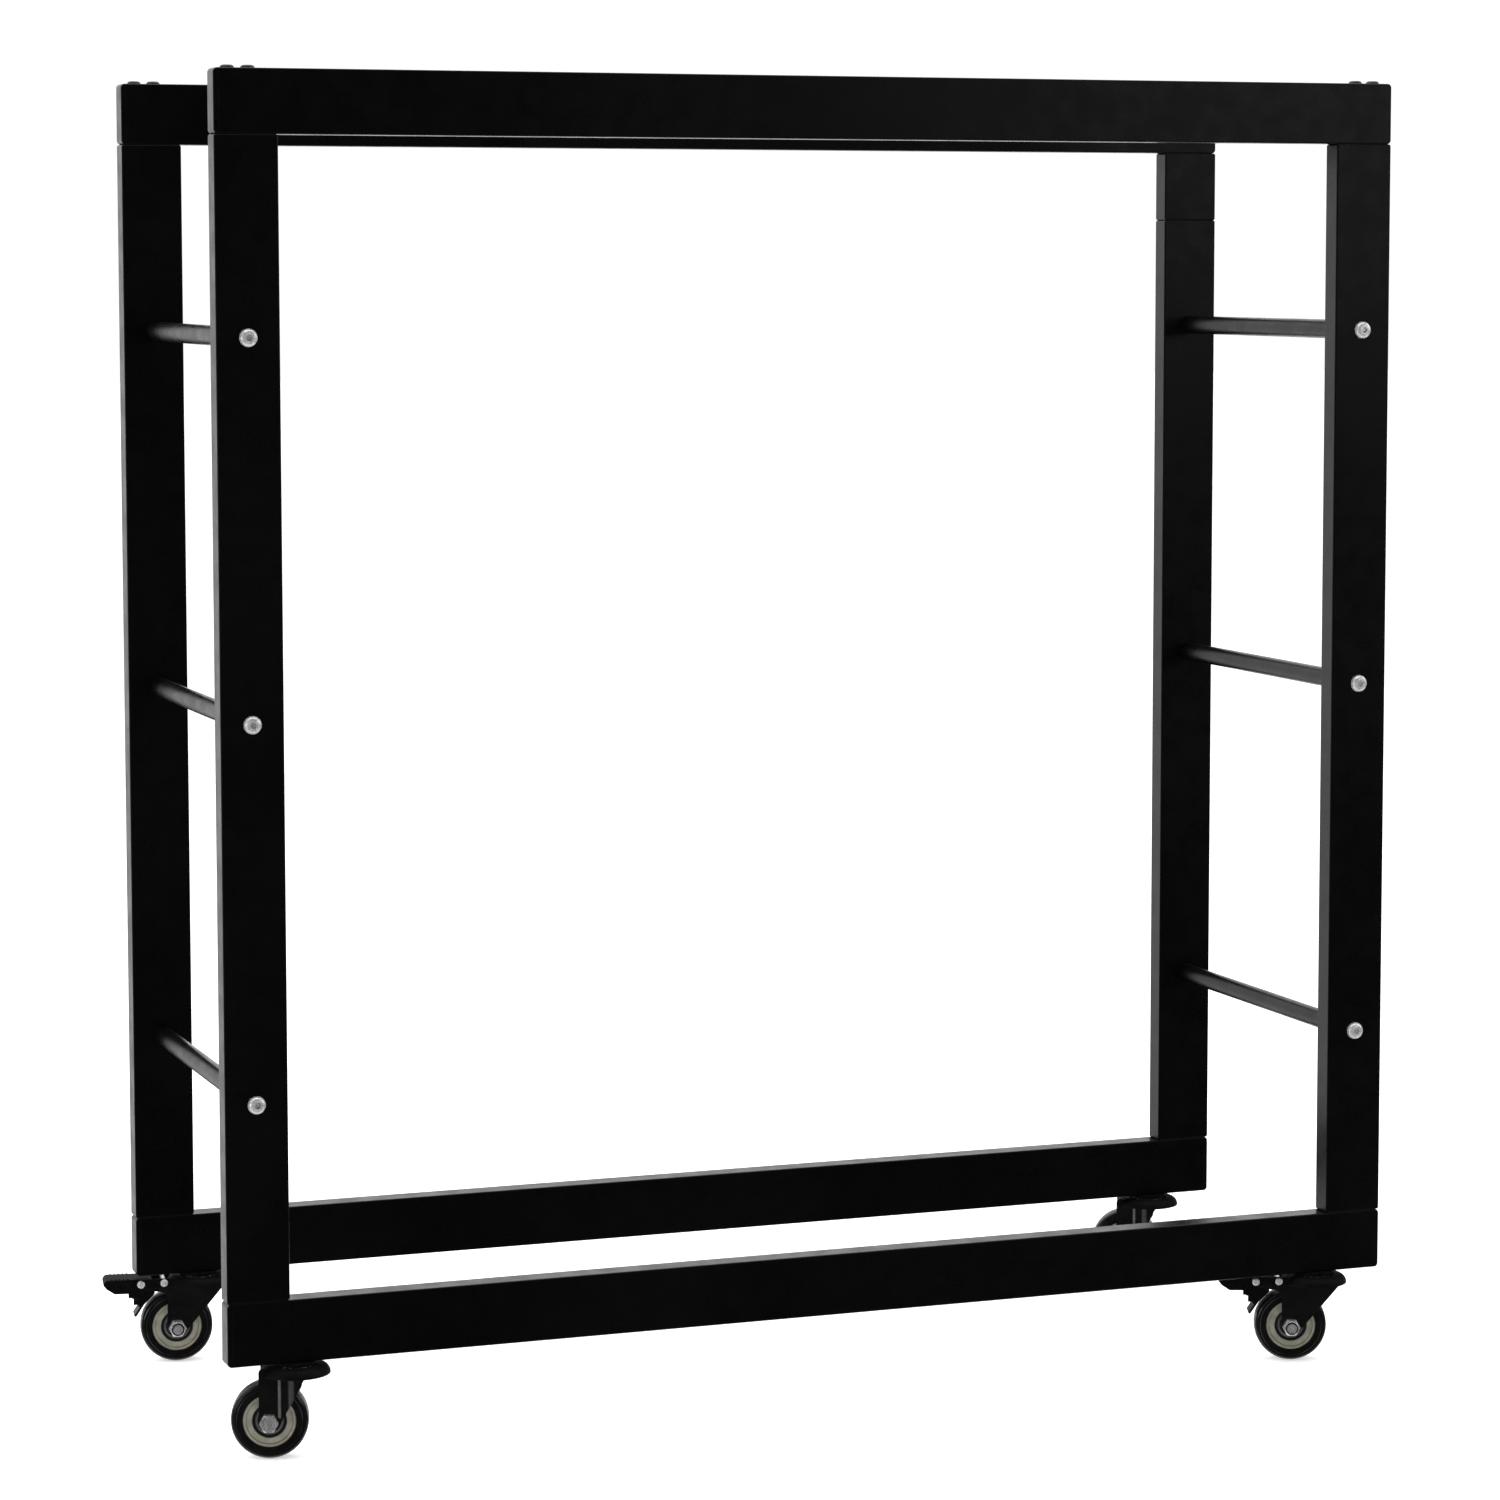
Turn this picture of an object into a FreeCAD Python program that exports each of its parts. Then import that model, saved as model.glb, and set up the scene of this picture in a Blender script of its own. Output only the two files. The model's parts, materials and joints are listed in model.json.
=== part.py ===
import FreeCAD, Part
import math
import os

# Firewood log rack on four swivel casters, in millimetres.
# Two upright rectangular loops of 50 x 20 tube, front and back, are tied together by six round rungs.
# Logs lie front to back across the two bottom bars, between the left and the right posts.
# While it is built, the frame's middle is at X = Y = 0, the front faces -Y and the floor is Z = 0.
# At the end everything moves so that the origin is the middle of the footprint, at floor level.

V = FreeCAD.Vector
SAME_POINT = 1e-6
HALF_TURN = math.sqrt(0.5)  # sine and cosine of 45 degrees, for the middle of a quarter arc

# Frame
FRAME_WIDTH = 1000.0
FRAME_DEPTH = 350.0
FRAME_HEIGHT = 1000.0
TUBE_FACE = 50.0  # the tube's wide side, which faces front and back
TUBE_DEPTH = 20.0
TUBE_WALL = 2.0
TUBE_EDGE = 1.2  # rounding of the tube's long edges
BAR_CORNER = 3.5  # rounding of a bar's closed ends, seen from the front
POST_CORNER = 1.8  # rounding where a post's end meets a bar
END_PLATE = 4.0  # plate that closes a bar's end
POST_PLATE = 5.0  # tapped plate inside a post's end
PLATE_FIT = 0.05  # gap between an inner plate and the tube around it
JOINT_BELOW_BAR = 60.0  # the back right post is joined this far below the top bar
JOINER_LENGTH = 80.0
JOINER_FIT = 0.1

# Rungs and their bolts
RUNG_RADIUS = 8.0
RUNG_WALL = 1.5
RUNG_HEIGHTS = {"low": 205.0, "middle": 500.0, "high": 796.0}  # above the frame's underside
PLUG_LENGTH = 20.0
M8_RADIUS = 4.0
M8_HOLE = 4.3
M8_HEAD_RADIUS = 7.1
M8_HEAD_HEIGHT = 4.2
M8_SOCKET = 5.0  # across flats
DOME_RIM = 0.15  # a domed head's upright rim, as a share of its height
DOME_SIDE = (0.9, 0.66)  # where the dome curves over, as shares of its radius and height
DOME_FLAT = 0.4  # the flat on top, as a share of the head's radius
SOCKET_FLOOR = 0.4  # the socket's floor, as a share of the head's height
THREAD_FIT = 0.05  # a thread is a plain pin in a plain hole with this gap

# Corner screws, two at each end of each bar
M6_RADIUS = 3.0
M6_HOLE = 3.3
M6_HEAD_RADIUS = 5.6
M6_HEAD_HEIGHT = 2.2
M6_SOCKET = 4.0
M6_LENGTH = 65.0
M6_SUNK_RADIUS = 6.0
SUNK_SOCKET_DEPTH = 2.0
SCREW_INSETS = (13.0, 29.0)  # from the bar's end

# Caster head, measured down from the frame's underside at the stem's axis
CASTER_HEIGHT = 76.5
CASTER_INSET = 56.0  # from the bar's end to the stem's axis
STEM_RADIUS = 5.0
STEM_TOP = 22.0
STEM_BEVEL = 1.0  # at the stem's upper end
STEM_HOLE = 5.4
WELD_NUT_SIDE = 15.0
WELD_NUT_HEIGHT = 8.0
RACE_RADIUS = 16.5
RACE_THICK = 2.5
KINGPIN_RADIUS = 6.0
KINGPIN_FIT = 0.05
KINGPIN_HEAD_RADIUS = 9.0
KINGPIN_HEAD_THICK = 2.6
KINGPIN_HEAD_RIM = 2.0  # height of the riveted head's upright rim
KINGPIN_HEAD_SIDE = 0.8  # where the riveted head curves over, as a share of its radius
BALL_CIRCLE = 11.5
BALL_RADIUS = 2.0
BALL_LEVEL = -4.3
BALL_COUNT = 14
WELL_RADIUS = 17.0  # the fork's well, which the upper race sits in
WELL_FLOOR = -6.1
SHEET = 2.0  # the fork's sheet steel
HEAD_RING = 21.0  # where the dish's flat ring starts to curve down
HEAD_RADIUS = 27.5
HEAD_TOP = -3.0
HEAD_LIP = -10.0
HEAD_GAP = 0.3

# Fork, wheel and axle. "Along" is the trailing direction, "across" is along the axle.
WHEEL_RADIUS = 30.5
TRAIL = 20.0  # the axle's distance behind the stem's axis
AXLE_DROP = CASTER_HEIGHT - WHEEL_RADIUS
LEG_INNER = 12.6
LEG_OUTER = LEG_INNER + SHEET
LEG_TOP = -3.6
LEG_END_RADIUS = 8.0
LEG_BACK = -TRAIL - LEG_END_RADIUS  # the leg's upright rear edge
LEG_FRONT = ((21.5, -8.0), (17.0, LEG_TOP))  # where a leg's front edge meets the dish
PLAIN_SLOPE = 60.0  # a leg's slanted front edge, in degrees from level
BRAKED_SLOPE = 50.0
PLAIN_WAIST = -18.0  # height where the plain leg's front edge starts to curve forwards
PLAIN_FLARE = ((8.0, -12.2), (19.0, -9.2))  # the curve's middle and end
PLAIN_CORNER = 3.5  # rounding of the plain leg's upper rear corner
BRAKED_SHOULDER = -11.0
EAR_UNDERSIDE = (-8.0, -14.5)  # X from the leg's rear edge, where the ear starts to curve down
EAR_SWEEP = ((-1.6, -17.2), (0.0, -23.0))  # that curve's middle and end
RIBS = ((-11.8, 1.5, -41.5, -9.0), (-2.6, 3.0, -38.0, -11.0))  # middle, half width, low and high ends
RIB_HEIGHT = 1.0
TYRE_HALF = 10.5
TYRE_SHOULDER = 4.2
TREAD_CROWN = 0.35  # how much lower the tread is at its edges than in the middle
BEAD_RADIUS = 25.6  # the raised bead reaches this far out from the rim
BEAD_HEIGHT = 0.5
BEAD_SLOPE = 0.2
CORE_RADIUS = 21.0
CORE_HALF = 9.8
CORE_BEVEL = 0.6
CORE_STEP_RADIUS = 18.4  # inside this the core's face is lower
CORE_STEP = 0.7
CORE_STEP_SLOPE = 0.3
CORE_BORE = 7.6
RECESS_RADIUS = 13.2
RECESS_HALF = 7.0
BEARING_OUTER = 11.0
BEARING_INNER = 6.2
BEARING_FACE = 8.4
BEARING_WIDTH = 7.0
BEARING_LOW = BEARING_FACE - BEARING_WIDTH
BEARING_RING = 1.5
SHIELD_SET_IN = 0.3
SHIELD_THICK = 0.5
SPACER_RADIUS = 5.7
AXLE_RADIUS = 4.0
NUT_FLATS = 13.0
BOLT_HEAD_HEIGHT = 5.3
NUT_HEIGHT = 8.0
COLLAR_HEIGHT = 2.2  # the lock nut's round collar, part of its height
COLLAR_RADIUS = 6.2
COLLAR_ROUND = 1.0
BOLT_END = 1.3  # what shows of the bolt beyond its nut
CORNER_BEVEL = math.tan(math.radians(30))  # how a hexagon's corners are turned off

# Brake, in the caster's own frame: the pedal turns on a pin between the fork's two ears
PEDAL_PIVOT = (-50.0, -7.8)
STOP_PIN = (-30.7, -7.2)
PIN_RADIUS = 2.0
PIN_FIT = 0.05
PIN_HEAD_RADIUS = 3.25
PIN_HEAD_HEIGHT = 1.5
PIN_FLAT = 1.2  # radius of the flat on a pin's domed head
PIN_HEAD_SIDE = (0.85, 0.7)  # where that head curves over, as shares of its radius and height
EAR_RADIUS = 4.2
PEDAL_HALF = 12.2
PEDAL_SHEET = 2.0  # the cheeks' sheet steel
PEDAL_TOP_SHEET = 1.5
PEDAL_TOP = -3.8
PEDAL_UNDERSIDE = -15.8
PEDAL_FLAT = (-76.0, -44.0)  # the ends of the pedal's flat top
TOE = ((-80.4, -5.2), (-81.4, -8.0))  # the toe's rounded end, its middle and lower end
TOE_UNDERSIDE = ((-79.0, -11.2), (-72.0, PEDAL_UNDERSIDE))
POCKET_FLAT = (-75.6, -36.0)  # the same inside the channel
POCKET_TOE = ((-78.6, -6.4), (-79.4, -8.4))
POCKET_END = (-77.4, -10.2)
POCKET_LOW = -40.0  # below everything, as the channel is open underneath
PEDAL_STEPS = ((-60.6, -19.6), (-56.4, -25.6), (-52.6, -27.4))  # inner corners of the cheeks' steps
CHEEK_FOOT = -49.2  # where a cheek leaves its last step and starts to curve round the tyre
CHEEK_GAP = 3.5  # from the tyre to the middle of that curve
CHEEK_ANGLE = 140.0  # of that middle round the axle, in degrees from +X
CHEEK_REAR = ((-41.8, -20.0), (-38.5, -16.5), (-38.5, -7.0), (-40.5, -5.3))
TREAD_RIBS = 5
TREAD_RIB_FIRST = -61.0
TREAD_RIB_PITCH = 3.4
TREAD_RIB_WIDTH = 1.4
TREAD_RIB_HEIGHT = 0.8
TREAD_RIB_INSET = 1.0  # from the pedal's side to a rib's end
WEB_LENGTH = 7.5  # the pedal's web, along the shoe that it carries
SHOE_HALF = 9.0
SHOE_THICK = 2.0
SHOE_TOP = (-43.7, -20.9)
SHOE_END = (-54.3, -36.9)
SHOE_TUCK = 1.0  # how far the shoe reaches past its own top

# Where each caster stands, how far it has swivelled from trailing left, and whether it has a brake
CASTERS = {
    "front_left": {"side": -1, "row": -1, "heading": -17.0, "brake": False},
    "front_right": {"side": 1, "row": -1, "heading": -22.0, "brake": True},
    "back_left": {"side": -1, "row": 1, "heading": -9.0, "brake": True},
    "back_right": {"side": 1, "row": 1, "heading": -26.0, "brake": False},
}

UNDERSIDE = CASTER_HEIGHT
TOP = UNDERSIDE + FRAME_HEIGHT
HALF_WIDTH = FRAME_WIDTH / 2
HALF_DEPTH = FRAME_DEPTH / 2
ROW_Y = HALF_DEPTH - TUBE_DEPTH / 2  # middle of the front and back loops
POST_X = HALF_WIDTH - TUBE_FACE / 2
POST_BOTTOM = UNDERSIDE + TUBE_FACE
POST_TOP = TOP - TUBE_FACE
SIDES = {"left": -1, "right": 1}
ROWS = {"front": -1, "back": 1}

nodes = {}


# Shapes

def block(low, high):
    """A box between two corners."""
    size = [b - a for a, b in zip(low, high)]
    return Part.makeBox(*size, V(*low))


def centred(x, y, z, size_x, size_y, size_z):
    """A box around a middle point."""
    return block(
        (x - size_x / 2, y - size_y / 2, z - size_z / 2),
        (x + size_x / 2, y + size_y / 2, z + size_z / 2),
    )


def rod(radius, start, end):
    """A cylinder from one point to another."""
    run = V(*end) - V(*start)
    return Part.makeCylinder(radius, run.Length, V(*start), run)


def upright(point):
    """An (x, z) point in the XZ plane."""
    return V(point[0], 0, point[1])


def outline(start, *steps):
    """A face in the XZ plane. A step is a point, or a point on an arc followed by the arc's end."""
    edges = []
    here = upright(start)
    for step in [*steps, start]:
        if isinstance(step[0], tuple):
            through, end = upright(step[0]), upright(step[1])
            edges.append(Part.Arc(here, through, end).toShape())
        else:
            end = upright(step)
            if (end - here).Length < SAME_POINT:
                continue
            edges.append(Part.LineSegment(here, end).toShape())
        here = end
    return Part.Face(Part.Wire(edges))


def turned(start, *steps):
    """A solid turned about Z from an outline of (radius, height) points."""
    return outline(start, *steps).revolve(V(0, 0, 0), V(0, 0, 1), 360)


def pressed(face, y_low, y_high):
    """An outline drawn out from one Y to another."""
    plate = face.copy()
    plate.translate(V(0, y_low, 0))
    return plate.extrude(V(0, y_high - y_low, 0))


def hexagon(flats, z_low, z_high):
    """A six-sided prism about Z."""
    radius = flats / math.sqrt(3)
    corners = [
        V(radius * math.cos(math.radians(a)), radius * math.sin(math.radians(a)), z_low)
        for a in range(0, 361, 60)
    ]
    return Part.Face(Part.makePolygon(corners)).extrude(V(0, 0, z_high - z_low))


def moved(shape, x, y, z):
    copy = shape.copy()
    copy.translate(V(x, y, z))
    return copy


def turned_to(shape, axis, degrees):
    copy = shape.copy()
    copy.rotate(V(0, 0, 0), V(*axis), degrees)
    return copy


def group(shapes):
    """Several separate solids in one node."""
    return Part.makeCompound([s for shape in shapes for s in shape.Solids])


def circle_point(centre, radius, degrees):
    angle = math.radians(degrees)
    return (centre[0] + radius * math.cos(angle), centre[1] + radius * math.sin(angle))


# Frame

def slab(x_low, x_high, z_low, z_high, corner):
    """The outer form of a bar or post: corners rounded as seen from the front, then its long edges."""
    bend = corner * (1 - HALF_TURN)
    face = outline(
        (x_low + corner, z_low),
        (x_high - corner, z_low),
        ((x_high - bend, z_low + bend), (x_high, z_low + corner)),
        (x_high, z_high - corner),
        ((x_high - bend, z_high - bend), (x_high - corner, z_high)),
        (x_low + corner, z_high),
        ((x_low + bend, z_high - bend), (x_low, z_high - corner)),
        (x_low, z_low + corner),
        ((x_low + bend, z_low + bend), (x_low + corner, z_low)),
    )
    solid = pressed(face, -TUBE_DEPTH / 2, TUBE_DEPTH / 2)
    rims = [e for e in solid.Edges if e.BoundBox.YLength < SAME_POINT]
    return solid.makeFillet(TUBE_EDGE, rims)


def bar_pieces(z_low):
    """A bar's tube and its two end plates, centred on the loop's own plane."""
    z_high = z_low + TUBE_FACE
    whole = slab(-HALF_WIDTH, HALF_WIDTH, z_low, z_high, BAR_CORNER)
    reach = HALF_WIDTH - END_PLATE
    half = TUBE_DEPTH / 2
    middle = block((-reach, -half, z_low), (reach, half, z_high))
    hollow = block(
        (-reach, -half + TUBE_WALL, z_low + TUBE_WALL),
        (reach, half - TUBE_WALL, z_high - TUBE_WALL),
    )
    tube = whole.common(middle).cut(hollow)
    plates = whole.cut(middle)
    return tube, plates


def mark_posts(tube):
    """Marks where the posts stand on a bottom bar, so that the log rest between them is one face."""
    half = TUBE_DEPTH / 2 - TUBE_EDGE
    marks = []
    for side in SIDES.values():
        x = side * (HALF_WIDTH - TUBE_FACE)
        marks.append(Part.LineSegment(V(x, -half, POST_BOTTOM), V(x, half, POST_BOTTOM)).toShape())
    return tube.generalFuse(marks)[0].Solids[0]


def drill_bar(tube, z_low, on_top):
    """Corner screw holes through both walls, and in a bottom bar the sunk seats and stem holes."""
    cutters = []
    for side in SIDES.values():
        for inset in SCREW_INSETS:
            x = side * (HALF_WIDTH - inset)
            cutters.append(rod(M6_HOLE, (x, 0, z_low - 1), (x, 0, z_low + TUBE_FACE + 1)))
            if not on_top:
                cutters.append(moved(sunk_cone(THREAD_FIT), x, 0, z_low))
        if not on_top:
            x = side * (HALF_WIDTH - CASTER_INSET)
            cutters.append(rod(STEM_HOLE, (x, 0, z_low - 1), (x, 0, z_low + TUBE_WALL + 1)))
    return tube.cut(Part.makeCompound(cutters))


def sunk_cone(gap):
    """A countersunk head, flush with the underside, pointing up."""
    depth = M6_SUNK_RADIUS - M6_RADIUS
    return turned(
        (0, 0),
        (M6_SUNK_RADIUS + gap, 0),
        (M6_RADIUS + gap, depth),
        (0, depth),
    )


def post_tube(x, z_low, z_high):
    """A length of post, open at both ends, on the loop's own plane."""
    half = TUBE_FACE / 2
    outer = slab(x - half, x + half, z_low, z_high, POST_CORNER)
    hollow = centred(
        x, 0, (z_low + z_high) / 2,
        TUBE_FACE - 2 * TUBE_WALL, TUBE_DEPTH - 2 * TUBE_WALL, z_high - z_low,
    )
    return outer.cut(hollow)


def post_holes(x):
    """The rung bolts' holes through a post."""
    reach = TUBE_DEPTH
    heights = [UNDERSIDE + h for h in RUNG_HEIGHTS.values()]
    return Part.makeCompound([rod(M8_HOLE, (x, -reach, z), (x, reach, z)) for z in heights])


def post_end_plate(x, z_middle):
    """A tapped plate that closes a post's end and takes two corner screws."""
    side = math.copysign(1, x)
    gap = 2 * (TUBE_WALL + PLATE_FIT)
    plate = centred(x, 0, z_middle, TUBE_FACE - gap, TUBE_DEPTH - gap, POST_PLATE)
    for inset in SCREW_INSETS:
        hole_x = side * (HALF_WIDTH - inset)
        low, high = z_middle - POST_PLATE, z_middle + POST_PLATE
        plate = plate.cut(rod(M6_RADIUS + THREAD_FIT, (hole_x, 0, low), (hole_x, 0, high)))
    return plate


def joiner_sleeve(x, z_middle):
    """The short inner tube that lines up the two lengths of the back right post."""
    gap = 2 * (TUBE_WALL + JOINER_FIT)
    outer_x, outer_y = TUBE_FACE - gap, TUBE_DEPTH - gap
    sleeve = centred(x, 0, z_middle, outer_x, outer_y, JOINER_LENGTH)
    inner = centred(
        x, 0, z_middle, outer_x - 2 * TUBE_WALL, outer_y - 2 * TUBE_WALL, JOINER_LENGTH
    )
    return sleeve.cut(inner)


def make_loops():
    """The front and back loops: bars, end plates, posts and the plates inside the posts."""
    end_plates = []
    post_plates = []
    for row, row_sign in ROWS.items():
        y = row_sign * ROW_Y
        for level, z_low in (("bottom", UNDERSIDE), ("top", POST_TOP)):
            tube, plates = bar_pieces(z_low)
            tube = drill_bar(tube, z_low, level == "top")
            if level == "bottom":
                tube = mark_posts(tube)
            nodes[f"{row}_{level}_bar"] = moved(tube, 0, y, 0)
            end_plates.append(moved(plates, 0, y, 0))
        for side, side_sign in SIDES.items():
            x = side_sign * POST_X
            top = POST_TOP
            if (row, side) == ("back", "right"):
                top = POST_TOP - JOINT_BELOW_BAR
                nodes["back_right_post_head"] = moved(post_tube(x, top, POST_TOP), 0, y, 0)
                nodes["post_joiner"] = moved(joiner_sleeve(x, top), 0, y, 0)
            post = post_tube(x, POST_BOTTOM, top).cut(post_holes(x))
            nodes[f"{row}_{side}_post"] = moved(post, 0, y, 0)
            for z in (POST_BOTTOM + POST_PLATE / 2, POST_TOP - POST_PLATE / 2):
                post_plates.append(moved(post_end_plate(x, z), 0, y, 0))
    nodes["bar_end_plates"] = group(end_plates)
    nodes["post_end_plates"] = group(post_plates)


def button_screw(shank_radius, head_radius, head_height, socket, length):
    """A domed screw along Z: its seat at Z = 0, the head above and the shank below."""
    side = (head_radius * DOME_SIDE[0], head_height * DOME_SIDE[1])
    dome = turned(
        (0, 0),
        (head_radius, 0),
        (head_radius, head_height * DOME_RIM),
        (side, (head_radius * DOME_FLAT, head_height)),
        (0, head_height),
    )
    recess = hexagon(socket, head_height * SOCKET_FLOOR, head_height + 1)
    return dome.cut(recess).fuse(rod(shank_radius, (0, 0, 0), (0, 0, -length))).removeSplitter()


def make_rungs():
    """Six round tubes between the loops, their tapped plugs and the bolts through the posts."""
    reach = HALF_DEPTH - TUBE_DEPTH
    plugs = []
    bolts = []
    plug = rod(RUNG_RADIUS - RUNG_WALL - PLATE_FIT, (0, 0, 0), (0, PLUG_LENGTH, 0))
    plug = plug.cut(rod(M8_RADIUS + THREAD_FIT, (0, -1, 0), (0, PLUG_LENGTH + 1, 0)))
    length = TUBE_DEPTH + PLUG_LENGTH
    bolt = button_screw(M8_RADIUS, M8_HEAD_RADIUS, M8_HEAD_HEIGHT, M8_SOCKET, length)
    for side, side_sign in SIDES.items():
        x = side_sign * POST_X
        for name, height in RUNG_HEIGHTS.items():
            z = UNDERSIDE + height
            tube = rod(RUNG_RADIUS, (x, -reach, z), (x, reach, z))
            tube = tube.cut(rod(RUNG_RADIUS - RUNG_WALL, (x, -reach, z), (x, reach, z)))
            nodes[f"{side}_rung_{name}"] = tube
            plugs.append(moved(plug, x, -reach, z))
            plugs.append(moved(plug, x, reach - PLUG_LENGTH, z))
            bolts.append(moved(turned_to(bolt, (1, 0, 0), 90), x, -HALF_DEPTH, z))
            bolts.append(moved(turned_to(bolt, (1, 0, 0), -90), x, HALF_DEPTH, z))
    nodes["rung_plugs"] = group(plugs)
    nodes["rung_bolts"] = group(bolts)


def make_corner_screws():
    """Domed screws down through the top bars, and sunk ones up through the bottom bars."""
    domed = button_screw(M6_RADIUS, M6_HEAD_RADIUS, M6_HEAD_HEIGHT, M6_SOCKET, M6_LENGTH)
    sunk = sunk_cone(0).fuse(rod(M6_RADIUS, (0, 0, 0), (0, 0, M6_LENGTH))).removeSplitter()
    sunk = sunk.cut(hexagon(M6_SOCKET, -1, SUNK_SOCKET_DEPTH))
    top_screws = []
    bottom_screws = []
    for row_sign in ROWS.values():
        for side_sign in SIDES.values():
            for inset in SCREW_INSETS:
                x = side_sign * (HALF_WIDTH - inset)
                top_screws.append(moved(domed, x, row_sign * ROW_Y, TOP))
                bottom_screws.append(moved(sunk, x, row_sign * ROW_Y, UNDERSIDE))
    nodes["top_corner_screws"] = group(top_screws)
    nodes["bottom_corner_screws"] = group(bottom_screws)


# Casters. Each shape is made with the stem's axis on Z, the frame's underside at Z = 0 and the
# wheel trailing towards -X, then turned to its heading and put under its corner.

def weld_nut():
    half = WELD_NUT_SIDE / 2
    low, high = TUBE_WALL, TUBE_WALL + WELD_NUT_HEIGHT
    nut = block((-half, -half, low), (half, half, high))
    return nut.cut(rod(STEM_RADIUS + THREAD_FIT, (0, 0, low - 1), (0, 0, high + 1)))


def caster_stem():
    """Threaded stem, kingpin shoulder and riveted head in one turned piece."""
    head_top = WELL_FLOOR - SHEET - HEAD_GAP
    head_low = head_top - KINGPIN_HEAD_THICK
    rounding = (KINGPIN_HEAD_RADIUS * KINGPIN_HEAD_SIDE, head_top - KINGPIN_HEAD_RIM)
    return turned(
        (0, STEM_TOP),
        (STEM_RADIUS - STEM_BEVEL, STEM_TOP),
        (STEM_RADIUS, STEM_TOP - STEM_BEVEL),
        (STEM_RADIUS, -RACE_THICK),
        (KINGPIN_RADIUS, -RACE_THICK),
        (KINGPIN_RADIUS, head_top),
        (KINGPIN_HEAD_RADIUS, head_top),
        (rounding, (KINGPIN_HEAD_RADIUS * DOME_FLAT, head_low)),
        (0, head_low),
    )


def upper_race():
    """The fixed disc under the bar, with the groove that the balls run in."""
    disc = rod(RACE_RADIUS, (0, 0, -RACE_THICK), (0, 0, 0))
    disc = disc.cut(rod(STEM_RADIUS + THREAD_FIT, (0, 0, -RACE_THICK), (0, 0, 0)))
    return disc.cut(Part.makeTorus(BALL_CIRCLE, BALL_RADIUS + THREAD_FIT, V(0, 0, BALL_LEVEL)))


def race_balls():
    step = 360.0 / BALL_COUNT
    spots = [circle_point((0, 0), BALL_CIRCLE, i * step) for i in range(BALL_COUNT)]
    return group([Part.makeSphere(BALL_RADIUS, V(x, y, BALL_LEVEL)) for x, y in spots])


def fork_head():
    """The pressed dish on top of the fork: a race in a well, a raised ring and a domed rim."""
    bore = KINGPIN_RADIUS + KINGPIN_FIT
    well_out = WELL_RADIUS + SHEET
    outer_x = HEAD_RING + (HEAD_RADIUS - HEAD_RING) * HALF_TURN
    outer_z = HEAD_LIP + (HEAD_TOP - HEAD_LIP) * HALF_TURN
    skin = SHEET * HALF_TURN
    dish = turned(
        (bore, WELL_FLOOR),
        (WELL_RADIUS, WELL_FLOOR),
        (WELL_RADIUS, HEAD_TOP),
        (HEAD_RING, HEAD_TOP),
        ((outer_x, outer_z), (HEAD_RADIUS, HEAD_LIP)),
        (HEAD_RADIUS - SHEET, HEAD_LIP),
        ((outer_x - skin, outer_z - skin), (HEAD_RING, HEAD_TOP - SHEET)),
        (well_out, HEAD_TOP - SHEET),
        (well_out, WELL_FLOOR - SHEET),
        (bore, WELL_FLOOR - SHEET),
    )
    return dish.cut(Part.makeTorus(BALL_CIRCLE, BALL_RADIUS + HEAD_GAP, V(0, 0, BALL_LEVEL)))


def behind_leg(point):
    """A point whose X is measured from the leg's upright rear edge."""
    return (LEG_BACK + point[0], point[1])


def leg_face(braked):
    """A fork leg seen from the side. A braked one has an ear that holds the pedal's pin."""
    axle = (-TRAIL, -AXLE_DROP)
    slope = BRAKED_SLOPE if braked else PLAIN_SLOPE
    tangent = circle_point(axle, LEG_END_RADIUS, slope - 90)
    foot = (axle[0], axle[1] - LEG_END_RADIUS)
    bend_z = BRAKED_SHOULDER if braked else PLAIN_WAIST
    bend = (tangent[0] + (bend_z - tangent[1]) / math.tan(math.radians(slope)), bend_z)
    if braked:
        pin_x, pin_z = PEDAL_PIVOT
        front = (bend, *LEG_FRONT)
        rear = (
            (pin_x, pin_z + EAR_RADIUS),
            ((pin_x - EAR_RADIUS, pin_z), (pin_x, pin_z - EAR_RADIUS)),
            behind_leg(EAR_UNDERSIDE),
            (behind_leg(EAR_SWEEP[0]), behind_leg(EAR_SWEEP[1])),
        )
    else:
        inset = PLAIN_CORNER * (1 - HALF_TURN)
        front = (bend, PLAIN_FLARE, *LEG_FRONT)
        rear = (
            (LEG_BACK + PLAIN_CORNER, LEG_TOP),
            ((LEG_BACK + inset, LEG_TOP - inset), (LEG_BACK, LEG_TOP - PLAIN_CORNER)),
        )
    return outline((LEG_BACK, axle[1]), (foot, tangent), *front, *rear)


def rib(side, x, half_width, z_low, z_high):
    """An upright round-backed rib on the outside of one leg, with a round lower and upper end."""
    radius = (half_width ** 2 + RIB_HEIGHT ** 2) / (2 * RIB_HEIGHT)
    y = side * (LEG_OUTER + RIB_HEIGHT - radius)
    return rod(radius, (x, y, z_low), (x, y, z_high)).fuse(
        [Part.makeSphere(radius, V(x, y, z)) for z in (z_low, z_high)]
    )


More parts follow.
